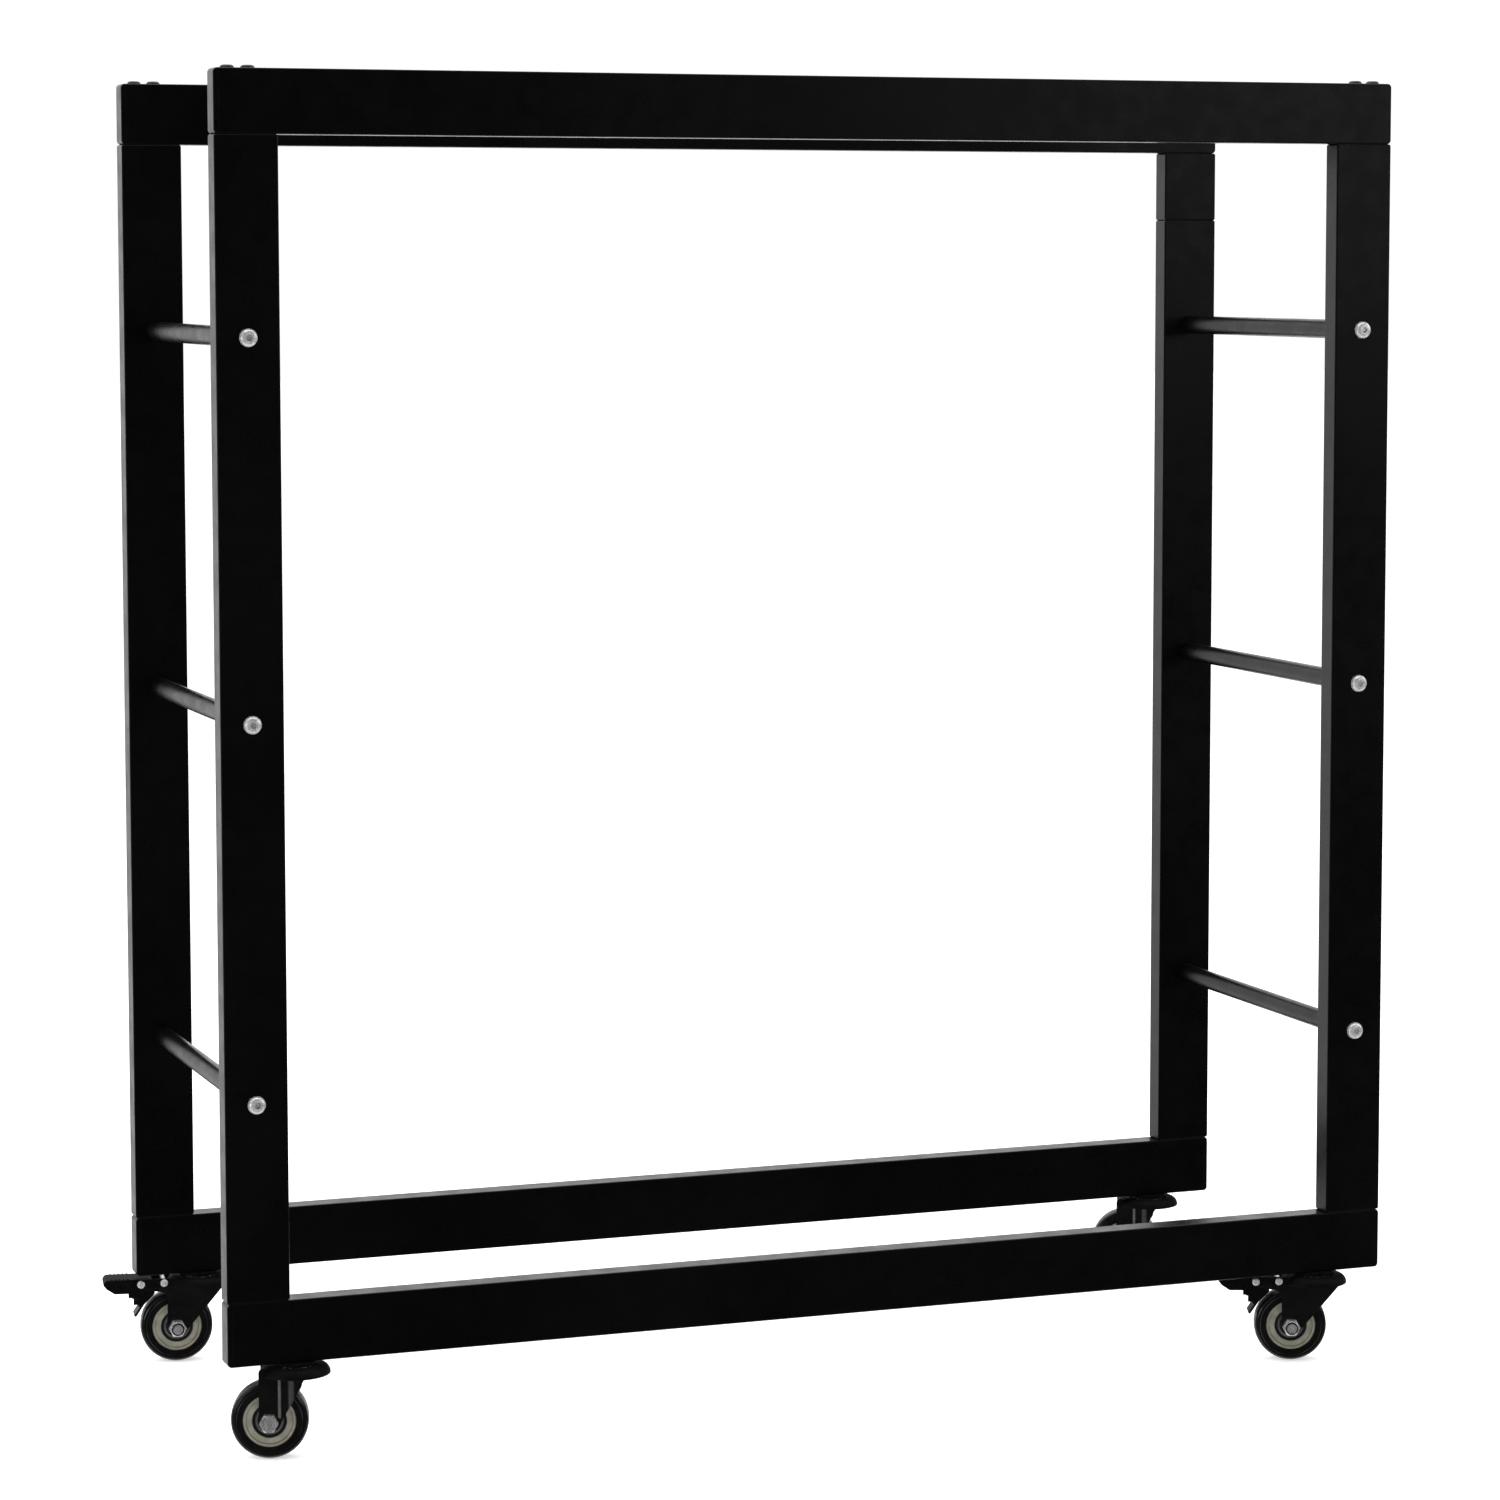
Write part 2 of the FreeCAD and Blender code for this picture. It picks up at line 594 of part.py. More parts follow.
def fork(braked):
    """The swivelling fork: head, two legs, and pressed ribs on the plain one."""
    face = leg_face(braked)
    reach = LEG_OUTER + 2 * RIB_HEIGHT
    legs = []
    for side in (-1, 1):
        legs.append(pressed(face, side * LEG_INNER, side * LEG_OUTER))
        if not braked:
            skin = pressed(face, side * LEG_OUTER, side * (LEG_OUTER + RIB_HEIGHT))
            legs.extend(skin.common(rib(side, *sizes)) for sizes in RIBS)
    body = fork_head().fuse(legs)
    well = rod(WELL_RADIUS, (0, 0, WELL_FLOOR), (0, 0, 1))
    axle_hole = rod(
        AXLE_RADIUS + THREAD_FIT, (-TRAIL, -reach, -AXLE_DROP), (-TRAIL, reach, -AXLE_DROP)
    )
    body = body.cut([well, axle_hole])
    if braked:
        for x, z in (PEDAL_PIVOT, STOP_PIN):
            body = body.cut(rod(PIN_RADIUS + PIN_FIT, (x, -reach, z), (x, reach, z)))
    return body.removeSplitter()


def on_axle(shape):
    """Puts a shape that was turned about Z onto the wheel's axle."""
    return moved(turned_to(shape, (1, 0, 0), 90), -TRAIL, 0, -AXLE_DROP)


def mirrored(points):
    """The same (radius, height) points on the other side, in the order that closes the outline."""
    return [(radius, -height) for radius, height in reversed(points)]


def tyre():
    """Polyurethane tread with round shoulders and a raised bead beside the rim."""
    wall = TYRE_HALF - BEAD_HEIGHT
    tread = WHEEL_RADIUS - TREAD_CROWN
    inset = TYRE_SHOULDER * (1 - HALF_TURN)
    upper = (tread, wall - TYRE_SHOULDER)
    curve = (WHEEL_RADIUS - inset, wall - inset)
    side = [
        (WHEEL_RADIUS - TYRE_SHOULDER, wall),
        (BEAD_RADIUS + BEAD_SLOPE, wall),
        (BEAD_RADIUS, TYRE_HALF),
        (CORE_RADIUS, TYRE_HALF),
    ]
    lower, low_curve = mirrored([curve, upper])
    return turned(
        upper,
        (curve, side[0]),
        *side[1:],
        *mirrored(side),
        (low_curve, lower),
        ((WHEEL_RADIUS, 0), upper),
    )


def wheel_core():
    """Moulded hub: a rim face that steps down towards a recess, and the bearings' seats."""
    rim = CORE_RADIUS - THREAD_FIT
    seat = BEARING_OUTER + THREAD_FIT
    low_face = CORE_HALF - CORE_STEP
    half = [
        (rim, CORE_HALF - CORE_BEVEL),
        (rim - CORE_BEVEL, CORE_HALF),
        (CORE_STEP_RADIUS, CORE_HALF),
        (CORE_STEP_RADIUS - CORE_STEP_SLOPE, low_face),
        (RECESS_RADIUS + CORE_BEVEL, low_face),
        (RECESS_RADIUS, low_face - CORE_BEVEL),
        (RECESS_RADIUS, RECESS_HALF),
        (seat, RECESS_HALF),
        (seat, BEARING_LOW),
        (CORE_BORE, BEARING_LOW),
    ]
    return turned(half[0], *half[1:], *mirrored(half))


def bearing_cases():
    """The two bearings' outer rings with their shields, which turn with the wheel."""
    bore = BEARING_INNER + HEAD_GAP
    race = BEARING_OUTER - BEARING_RING
    shield_high = BEARING_FACE - SHIELD_SET_IN
    shield_low = BEARING_LOW + SHIELD_SET_IN
    ring = turned(
        (BEARING_OUTER, BEARING_LOW),
        (BEARING_OUTER, BEARING_FACE),
        (race, BEARING_FACE),
        (race, shield_high),
        (bore, shield_high),
        (bore, shield_high - SHIELD_THICK),
        (race, shield_high - SHIELD_THICK),
        (race, shield_low + SHIELD_THICK),
        (bore, shield_low + SHIELD_THICK),
        (bore, shield_low),
        (race, shield_low),
        (race, BEARING_LOW),
    )
    return group([on_axle(ring), on_axle(turned_to(ring, (1, 0, 0), 180))])


def axle_rings():
    """What the axle bolt clamps: two inner rings, a spacer between them and one beside each leg."""
    bore = AXLE_RADIUS + THREAD_FIT
    spans = [
        (SPACER_RADIUS, -BEARING_LOW, BEARING_LOW),
        (BEARING_INNER, BEARING_LOW, BEARING_FACE),
        (BEARING_INNER, -BEARING_FACE, -BEARING_LOW),
        (SPACER_RADIUS, BEARING_FACE, LEG_INNER),
        (SPACER_RADIUS, -LEG_INNER, -BEARING_FACE),
    ]
    rings = []
    for radius, start, end in spans:
        ring = rod(radius, (0, 0, start), (0, 0, end)).cut(rod(bore, (0, 0, start), (0, 0, end)))
        rings.append(on_axle(ring))
    return group(rings)


def rounded_hexagon(flats, z_low, z_high, both_ends):
    """A bolt head or nut: a hexagonal prism with its corners turned off at one end or both."""
    corner = flats / math.sqrt(3)
    drop = (corner - flats / 2) * CORNER_BEVEL
    lower = ((flats / 2, z_low), (corner, z_low + drop)) if both_ends else ((corner, z_low),)
    barrel = turned((0, z_low), *lower, (corner, z_high - drop), (flats / 2, z_high), (0, z_high))
    return hexagon(flats, z_low, z_high).common(barrel)


def axle_bolt(toward):
    """The axle bolt, its head against one leg. toward is the side (-1 or 1) that the head is on."""
    head = rounded_hexagon(NUT_FLATS, LEG_OUTER, LEG_OUTER + BOLT_HEAD_HEIGHT, False)
    shank = rod(AXLE_RADIUS, (0, 0, LEG_OUTER), (0, 0, -LEG_OUTER - NUT_HEIGHT - BOLT_END))
    bolt = head.fuse(shank).removeSplitter()
    return on_axle(bolt if toward < 0 else turned_to(bolt, (1, 0, 0), 180))


def axle_nut(toward):
    """The lock nut on one leg. toward is the side (-1 or 1) that the nut is on."""
    top = LEG_OUTER + NUT_HEIGHT
    hexagon_top = top - COLLAR_HEIGHT
    body = rounded_hexagon(NUT_FLATS, LEG_OUTER, hexagon_top, True)
    inset = COLLAR_ROUND * (1 - HALF_TURN)
    collar = turned(
        (0, hexagon_top),
        (COLLAR_RADIUS, hexagon_top),
        (COLLAR_RADIUS, top - COLLAR_ROUND),
        ((COLLAR_RADIUS - inset, top - inset), (COLLAR_RADIUS - COLLAR_ROUND, top)),
        (0, top),
    )
    bore = rod(AXLE_RADIUS + THREAD_FIT, (0, 0, LEG_OUTER - 1), (0, 0, top + 1))
    nut = body.fuse(collar).cut(bore).removeSplitter()
    return on_axle(nut if toward < 0 else turned_to(nut, (1, 0, 0), 180))


# Brake

def pedal():
    """A channel on a pin: a ribbed toe to tread on, two stepped cheeks and a web for the shoe."""
    round_tyre = circle_point((-TRAIL, -AXLE_DROP), WHEEL_RADIUS + CHEEK_GAP, CHEEK_ANGLE)
    first, second, third = PEDAL_STEPS
    side = outline(
        (PEDAL_FLAT[1], PEDAL_TOP),
        (PEDAL_FLAT[0], PEDAL_TOP),
        TOE,
        *TOE_UNDERSIDE,
        (first[0], PEDAL_UNDERSIDE),
        first,
        (second[0], first[1]),
        second,
        (third[0], second[1]),
        third,
        (CHEEK_FOOT, third[1]),
        (round_tyre, CHEEK_REAR[0]),
        *CHEEK_REAR[1:],
    )
    inner_top = PEDAL_TOP - PEDAL_TOP_SHEET
    pocket = outline(
        (POCKET_FLAT[1], inner_top),
        (POCKET_FLAT[0], inner_top),
        POCKET_TOE,
        POCKET_END,
        (POCKET_END[0], POCKET_LOW),
        (POCKET_FLAT[1], POCKET_LOW),
    )
    inside = PEDAL_HALF - PEDAL_SHEET
    shell = pressed(side, -PEDAL_HALF, PEDAL_HALF).cut(pressed(pocket, -inside, inside))
    web = pressed(beside_tyre(SHOE_THICK, 2 * SHOE_THICK, 0.0, WEB_LENGTH), -inside, inside)
    pieces = [web]
    rib_reach = PEDAL_HALF - TREAD_RIB_INSET
    for i in range(TREAD_RIBS):
        x = TREAD_RIB_FIRST - TREAD_RIB_PITCH * i
        low = (x - TREAD_RIB_WIDTH / 2, -rib_reach, PEDAL_TOP)
        high = (x + TREAD_RIB_WIDTH / 2, rib_reach, PEDAL_TOP + TREAD_RIB_HEIGHT)
        pieces.append(block(low, high))
    x, z = PEDAL_PIVOT
    bore = rod(PIN_RADIUS + PIN_FIT, (x, -PEDAL_HALF - 1, z), (x, PEDAL_HALF + 1, z))
    return shell.fuse(pieces).cut(bore).removeSplitter()


def beside_tyre(near, far, start, end):
    """A straight band along the shoe, from near to far outside the shoe's own tyre-side face."""
    length = math.dist(SHOE_TOP, SHOE_END)
    along_x, along_z = (SHOE_END[0] - SHOE_TOP[0]) / length, (SHOE_END[1] - SHOE_TOP[1]) / length
    corners = []
    for run, offset in ((start, near), (end, near), (end, far), (start, far)):
        x = SHOE_TOP[0] + along_x * run + along_z * offset
        z = SHOE_TOP[1] + along_z * run - along_x * offset
        corners.append((x, z))
    return outline(*corners)


def brake_shoe():
    """The steel strip, fixed under the pedal's web, that presses on the tyre."""
    length = math.dist(SHOE_TOP, SHOE_END)
    return pressed(beside_tyre(0.0, SHOE_THICK, -SHOE_TUCK, length), -SHOE_HALF, SHOE_HALF)


def brake_pins():
    """The pedal's pivot pin and the stop pin, each riveted over both of the fork's ears."""
    pins = []
    crown = LEG_OUTER + PIN_HEAD_HEIGHT
    curve = (PIN_HEAD_RADIUS * PIN_HEAD_SIDE[0], LEG_OUTER + PIN_HEAD_HEIGHT * PIN_HEAD_SIDE[1])
    head = turned(
        (0, LEG_OUTER),
        (PIN_HEAD_RADIUS, LEG_OUTER),
        (curve, (PIN_FLAT, crown)),
        (0, crown),
    )
    shank = rod(PIN_RADIUS, (0, 0, -LEG_OUTER), (0, 0, LEG_OUTER))
    pin = shank.fuse([head, turned_to(head, (1, 0, 0), 180)]).removeSplitter()
    for x, z in (PEDAL_PIVOT, STOP_PIN):
        pins.append(moved(turned_to(pin, (1, 0, 0), 90), x, 0, z))
    return group(pins)


def at_corner(shape, caster):
    """Turns a caster's shape to its heading and puts it under its corner of the frame."""
    x = caster["side"] * (HALF_WIDTH - CASTER_INSET)
    y = caster["row"] * ROW_Y
    return moved(turned_to(shape, (0, 0, 1), caster["heading"]), x, y, UNDERSIDE)


def make_casters():
    nuts = []
    stems = []
    races = []
    balls = []
    for name, caster in CASTERS.items():
        nuts.append(at_corner(turned_to(weld_nut(), (0, 0, 1), -caster["heading"]), caster))
        stems.append(at_corner(caster_stem(), caster))
        races.append(at_corner(upper_race(), caster))
        balls.append(at_corner(race_balls(), caster))
        braked = caster["brake"]
        nut_side = -1 if braked else 1
        pieces = {
            "fork": fork(braked),
            "tyre": on_axle(tyre()),
            "wheel_core": on_axle(wheel_core()),
            "bearing_cases": bearing_cases(),
            "axle_rings": axle_rings(),
            "axle_bolt": axle_bolt(-nut_side),
            "axle_nut": axle_nut(nut_side),
        }
        if braked:
            pieces["brake_pedal"] = pedal()
            pieces["brake_shoe"] = brake_shoe()
            pieces["brake_pins"] = brake_pins()
        for piece, shape in pieces.items():
            nodes[f"{name}_{piece}"] = at_corner(shape, caster)
    nodes["caster_weld_nuts"] = group(nuts)
    nodes["caster_stems"] = group(stems)
    nodes["caster_races"] = group(races)
    nodes["caster_balls"] = group(balls)


def footprint_middle():
    """The middle of the box around everything, in X and Y."""
    boxes = [shape.optimalBoundingBox() for shape in nodes.values()]
    x = (min(b.XMin for b in boxes) + max(b.XMax for b in boxes)) / 2
    y = (min(b.YMin for b in boxes) + max(b.YMax for b in boxes)) / 2
    return x, y


def export_nodes():
    os.makedirs("parts", exist_ok=True)
    x, y = footprint_middle()
    print(f"footprint middle {x:.3f} {y:.3f}")
    for name, shape in nodes.items():
        placed = moved(shape, -x, -y, 0)
        placed.exportStep(f"parts/{name}.step")
        count = len(placed.Solids)
        print(f"{name}: {count} solid(s), {placed.Volume / 1000:.2f} cm3, valid {placed.isValid()}")
    print(len(nodes), "nodes")


make_loops()
make_rungs()
make_corner_screws()
make_casters()
export_nodes()
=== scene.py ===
import json
import math

import bpy
from mathutils import Matrix, Vector


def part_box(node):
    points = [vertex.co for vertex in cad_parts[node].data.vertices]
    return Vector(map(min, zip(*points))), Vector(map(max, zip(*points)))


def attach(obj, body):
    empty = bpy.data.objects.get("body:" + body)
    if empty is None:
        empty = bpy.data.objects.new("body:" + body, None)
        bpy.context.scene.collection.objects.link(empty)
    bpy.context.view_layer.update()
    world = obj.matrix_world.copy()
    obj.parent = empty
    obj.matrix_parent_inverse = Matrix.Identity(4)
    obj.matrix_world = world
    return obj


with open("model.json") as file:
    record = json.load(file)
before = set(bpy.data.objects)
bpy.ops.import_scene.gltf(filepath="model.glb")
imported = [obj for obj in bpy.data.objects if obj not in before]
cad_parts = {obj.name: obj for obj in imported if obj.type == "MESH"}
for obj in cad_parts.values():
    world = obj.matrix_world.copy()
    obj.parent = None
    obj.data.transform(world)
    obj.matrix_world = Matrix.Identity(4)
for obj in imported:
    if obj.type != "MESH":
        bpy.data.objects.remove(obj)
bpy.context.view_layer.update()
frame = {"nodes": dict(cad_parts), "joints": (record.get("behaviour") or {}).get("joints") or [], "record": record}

# Looks for the firewood log rack: materials, small added pieces, floor, light and camera.
# Lengths are in metres, and MM turns millimetres into them. X runs along the bars, the front faces
# -Y and Z is up.

nodes = frame["nodes"]
CORNERS = ("front_left", "front_right", "back_left", "back_right")
BRAKED = ("front_right", "back_left")
MM = 0.001
FULL_TURN = 2 * math.pi

FRAME_CORNER = Vector(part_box("bar_end_plates")[0])  # the frame's left front lower corner

# Fork
HEAD_DEPTH = 10.8 * MM  # how far a fork's dished head reaches below the frame
HEAD_BLEND = 0.5 * MM  # half the band over which the head's matt coat ends
RIB_FOOT = 14.9 * MM  # a rib rises from here to its crown, measured along the axle
RIB_CROWN = 15.5 * MM
BETWEEN_RIBS = (10.5 * MM, 13.5 * MM)  # in front of the axle

# Wheel, as distances from its axle
TREAD = (28.9 * MM, 30.0 * MM)  # the tread's wear starts and is full
# Radius and half width of a painted highlight ring on the tyre's side, at the bead
BEAD_HIGHLIGHT = 25.75 * MM
BEAD_HIGHLIGHT_HALF = 0.45 * MM
TYRE_RING_PITCH = 1.15 * MM
PARTING_HALF = 0.35 * MM  # half the mould's parting line, along the axle
CORE_STEP = 18.3 * MM
CORE_STEP_HALF = 0.55 * MM
CORE_RIM = (20.2 * MM, 21.0 * MM)  # grime beside the tyre
CORE_LIP = (13.0 * MM, 14.2 * MM)  # painted shade round the recess
# The hub recess, coloured near black as painted shade
CORE_RECESS = (12.9 * MM, 13.7 * MM)
CORE_RING_PITCH = 0.8 * MM

# Added pieces, as (radius, height above the face) in millimetres, round the axle
SEAL_FACE = 8.10 * MM  # the bearing's shield, from the wheel's middle
SEAL_PROFILE = (
    (6.55, 0.02),
    (6.55, 0.20),
    (6.90, 0.26),
    (7.30, 0.12),
    (8.50, 0.12),
    (8.80, 0.24),
    (9.35, 0.24),
    (9.35, 0.02),
)
NUT_FACE = 22.60 * MM  # the lock nut's outer face, from the wheel's middle
INSERT_PROFILE = (
    (4.12, -0.20),
    (4.12, 0.05),
    (4.30, 0.16),
    (5.10, 0.16),
    (5.35, 0.02),
    (5.35, -0.20),
)
TURNED_STEPS = 72
TURNED_EDGE = 0.06 * MM
TURNED_EDGE_ANGLE = math.radians(35)

# Pressed steel's softened edges
PRESSED_EDGE_ANGLE = math.radians(38)
JOIN_DISTANCE = 0.01 * MM
FORK_EDGE = 0.35 * MM
PEDAL_EDGE = 0.40 * MM
SHOE_EDGE = 0.30 * MM

WHITE = (1.0, 1.0, 1.0, 1.0)
FLOOR_REACH = 30.0
FLOOR_GLOW = (0.36, 0.52)  # as light on the object, and as the camera sees it
BACKDROP = 1.05  # strength of the white that the camera sees

# The backdrop's light on the object, by direction: Y is -1 in front of the rack and 1 behind it
BEHIND_FROM = (-0.85, 0.25)
BEHIND_LIGHT = (0.05, 1.35)
SIDES_FROM = (0.76, 0.95)  # X, which is 1 or -1 straight to the sides
SIDES_SHARE = (1.0, 0.10)

# Camera, from the frame's left front lower corner
CAMERA_OFFSET = Vector((-0.7708, -3.2818, 0.8538))
CAMERA_YAW = 0.351  # turned right from +Y, in radians
CAMERA_PITCH = -0.088
CAMERA_ROLL = -0.001
CAMERA_SHIFT = -0.067
LENS = 105.7
SENSOR = 36.0
FAR_CLIP = 100.0


# Node helpers

class Nodes:
    """Makes and links the nodes of one node tree."""

    def __init__(self, tree):
        self.tree = tree

    def node(self, kind, **settings):
        made = self.tree.nodes.new(kind)
        for key, value in settings.items():
            setattr(made, key, value)
        return made

    def put(self, socket, value):
        """A number, a vector or another node's output into a socket."""
        if isinstance(value, bpy.types.NodeSocket):
            self.tree.links.new(value, socket)
        else:
            socket.default_value = value

    def math(self, operation, a, b=0.0):
        made = self.node("ShaderNodeMath", operation=operation)
        self.put(made.inputs[0], a)
        self.put(made.inputs[1], b)
        return made.outputs[0]

    def vector(self, operation, a, b):
        made = self.node("ShaderNodeVectorMath", operation=operation)
        self.put(made.inputs[0], a)
        self.put(made.inputs[1], b)
        return made.outputs["Value" if operation == "DOT_PRODUCT" else "Vector"]

    def axes(self, vector):
        """A vector's X, Y and Z, by name."""
        made = self.node("ShaderNodeSeparateXYZ")
        self.put(made.inputs[0], vector)
        return made.outputs

    def ramp(self, value, start, end, low=0.0, high=1.0):
        """value from start..end to low..high, held at both ends."""
        made = self.node("ShaderNodeMapRange", interpolation_type="SMOOTHSTEP")
        for socket, entry in zip(made.inputs, (value, start, end, low, high)):
            self.put(socket, entry)
        return made.outputs["Result"]

    def camera_ray(self):
        """1 where the camera looks straight at something, 0 in lighting and reflections."""
        return self.node("ShaderNodeLightPath").outputs["Is Camera Ray"]


class Finish(Nodes):
    """One procedural material: its node tree and its Principled shader."""

    def __init__(self, name, color, metallic=0.0, roughness=0.5, specular=0.5):
        self.material = bpy.data.materials.new(name)
        self.material.use_nodes = True
        super().__init__(self.material.node_tree)
        self.shader = self.tree.nodes["Principled BSDF"]
        self.color = color
        self.set("Metallic", metallic)
        self.set("Roughness", roughness)
        self.set("Specular IOR Level", specular)
        self.set("Base Color", (*color, 1.0))
        self.place = self.node("ShaderNodeTexCoord").outputs["Object"]

    def set(self, socket, value):
        self.shader.inputs[socket].default_value = value

    def use(self, socket, value):
        self.put(self.shader.inputs[socket], value)

    def noise(self, scale, detail=3.0, roughness=0.5, stretch=(1.0, 1.0, 1.0)):
        """A noise value from 0 to 1, with scale in features a metre."""
        spot = self.place
        if stretch != (1.0, 1.0, 1.0):
            spot = self.vector("MULTIPLY", spot, stretch)
        made = self.node("ShaderNodeTexNoise")
        self.put(made.inputs["Vector"], spot)
        made.inputs["Scale"].default_value = scale
        made.inputs["Detail"].default_value = detail
        made.inputs["Roughness"].default_value = roughness
        return made.outputs["Fac"]

    def cells(self, scale):
        """Distance from the nearest of many scattered points."""
        made = self.node("ShaderNodeTexVoronoi", feature="F1")
        self.put(made.inputs["Vector"], self.place)
        made.inputs["Scale"].default_value = scale
        return made.outputs["Distance"]

    def mix(self, share, a, b):
        """Two colours mixed by a share."""
        made = self.node("ShaderNodeMix", data_type="RGBA")
        self.put(made.inputs["Factor"], share)
        for socket, value in ((made.inputs["A"], a), (made.inputs["B"], b)):
            self.put(socket, value if isinstance(value, bpy.types.NodeSocket) else (*value, 1.0))
        return made.outputs["Result"]

    def line(self, value, middle, half_width):
        """1 where value is at middle, fading to 0 half_width away."""
        away = self.math("ABSOLUTE", self.math("SUBTRACT", value, middle))
        return self.ramp(away, 0.0, half_width, 1.0, 0.0)

    def waves(self, value, pitch):
        """A sine wave along value, with one crest every pitch."""
        return self.math("SINE", self.math("MULTIPLY", value, FULL_TURN / pitch))

    def edges(self, radius):
        """1 on edges within radius, 0 on flat stretches."""
        bevel = self.node("ShaderNodeBevel", samples=4)
        bevel.inputs["Radius"].default_value = radius
        flat = self.node("ShaderNodeNewGeometry").outputs["Normal"]
        agreement = self.vector("DOT_PRODUCT", bevel.outputs["Normal"], flat)
        return self.ramp(agreement, 0.995, 0.90)

    def bump(self, *layers):
        """Bump layers, each (height, depth in metres, strength), one on top of another."""
        last = None
        for height, depth, strength in layers:
            made = self.node("ShaderNodeBump")
            made.inputs["Distance"].default_value = depth
            made.inputs["Strength"].default_value = strength
            self.put(made.inputs["Height"], height)
            if last is not None:
                self.put(made.inputs["Normal"], last)
            last = made.outputs["Normal"]
        self.use("Normal", last)


def scaled(color, factor):
    return tuple(min(1.0, c * factor) for c in color)


# Materials

def powder_coat():
    """Satin black powder coat: orange peel, faint clouding, and thinner, shinier film on edges, coloured a little
    lighter there, partly as a painted highlight.
    """
    f = Finish("powder_black", (0.0014, 0.0014, 0.0017), roughness=0.31, specular=0.16)
    cloud = f.noise(9.0, detail=4.0)
    speck = f.noise(2600.0, detail=1.0)
    edge = f.edges(1.1 * MM)
    base = f.mix(f.ramp(cloud, 0.3, 0.7), scaled(f.color, 0.75), scaled(f.color, 1.35))
    grain = f.mix(f.ramp(speck, 0.60, 0.74, 0.0, 0.45), base, (0.007, 0.007, 0.008))
    # Edges a little lighter: partly thinner film, partly a painted edge highlight.
    f.use("Base Color", f.mix(f.math("MULTIPLY", edge, 0.10), grain, (0.022, 0.022, 0.024)))
    rough = f.ramp(f.noise(55.0, detail=3.0), 0.3, 0.7, 0.26, 0.35)
    f.use("Roughness", f.math("SUBTRACT", rough, f.math("MULTIPLY", edge, 0.06)))
    f.bump((f.noise(620.0, detail=2.0), 0.06 * MM, 0.45), (f.cells(1500.0), 0.03 * MM, 0.30))
    return f.material


def zinc(name="zinc_plate", tint=(0.74, 0.75, 0.77), metallic=0.55):
    """Bright zinc plating: tumbled metal with slightly uneven colour and shine."""
    f = Finish(name, tint, metallic=metallic, roughness=0.26)
    cloud = f.noise(260.0, detail=3.0)
    warm = f.mix(f.ramp(cloud, 0.35, 0.68), scaled(tint, 0.85), (0.82, 0.81, 0.78))
    edge = f.edges(0.4 * MM)
    f.use("Base Color", f.mix(f.math("MULTIPLY", edge, 0.6), warm, (0.88, 0.88, 0.88)))
    f.use("Roughness", f.ramp(f.noise(900.0, detail=4.0), 0.3, 0.7, 0.18, 0.34))
    f.bump((f.noise(1700.0, detail=3.0), 0.03 * MM, 0.35), (f.noise(420.0), 0.06 * MM, 0.25))
    return f.material


def black_oxide():
    """Black oxide on screws: dark metal, oily, with lighter rubbed edges."""
    f = Finish("black_oxide", (0.020, 0.020, 0.022), metallic=0.7, roughness=0.34)
    edge = f.edges(0.4 * MM)
    base = f.mix(f.ramp(f.noise(300.0), 0.35, 0.7), (0.014, 0.014, 0.016), (0.032, 0.031, 0.030))
    f.use("Base Color", f.mix(f.math("MULTIPLY", edge, 0.5), base, (0.10, 0.10, 0.10)))
    f.use("Roughness", f.ramp(f.noise(1200.0, detail=4.0), 0.3, 0.7, 0.26, 0.44))
    f.bump((f.noise(1500.0, detail=3.0), 0.04 * MM, 0.4))
    return f.material


def plain_steel(name="plain_steel", tint=(0.50, 0.50, 0.51), roughness=(0.22, 0.42), metallic=0.9):
    """Turned or pressed steel with fine scratches and a film of oil."""
    f = Finish(name, tint, metallic=metallic, roughness=0.3)
    scratches = f.noise(500.0, detail=5.0, stretch=(1.0, 1.0, 9.0))
    cloud = f.ramp(f.noise(120.0), 0.3, 0.7)
    f.use("Base Color", f.mix(cloud, scaled(tint, 0.75), scaled(tint, 1.15)))
    f.use("Roughness", f.ramp(scratches, 0.3, 0.7, *roughness))
    f.bump((scratches, 0.03 * MM, 0.35))
    return f.material


class Wheel:
    """Where a wheel's axle runs, for rings and wear that follow its own axis."""

    def __init__(self, corner):
        joint = next(j for j in frame["joints"] if j["name"] == corner + "_wheel_spin")
        self.centre = Vector(joint["pos_m"])
        self.axis = Vector(joint["axis"]).normalized()
        self.forward = self.axis.cross(Vector((0.0, 0.0, 1.0)))  # from the axle towards the swivel

    def out(self, f):
        return f.vector("SUBTRACT", f.place, tuple(self.centre))

    def along(self, f):
        """Position along the axle from the wheel's middle, as a node output."""
        return f.vector("DOT_PRODUCT", self.out(f), tuple(self.axis))

    def ahead(self, f):
        """Distance in front of the axle, on the swivel's side, as a node output."""
        return f.vector("DOT_PRODUCT", self.out(f), tuple(self.forward))

    def radius(self, f):
        """Distance from the axle, as a node output."""
        out = self.out(f)
        along = self.along(f)
        squared = f.vector("DOT_PRODUCT", out, out)
        flat = f.math("SUBTRACT", squared, f.math("MULTIPLY", along, along))
        return f.math("SQRT", f.math("MAXIMUM", flat, 0.0))


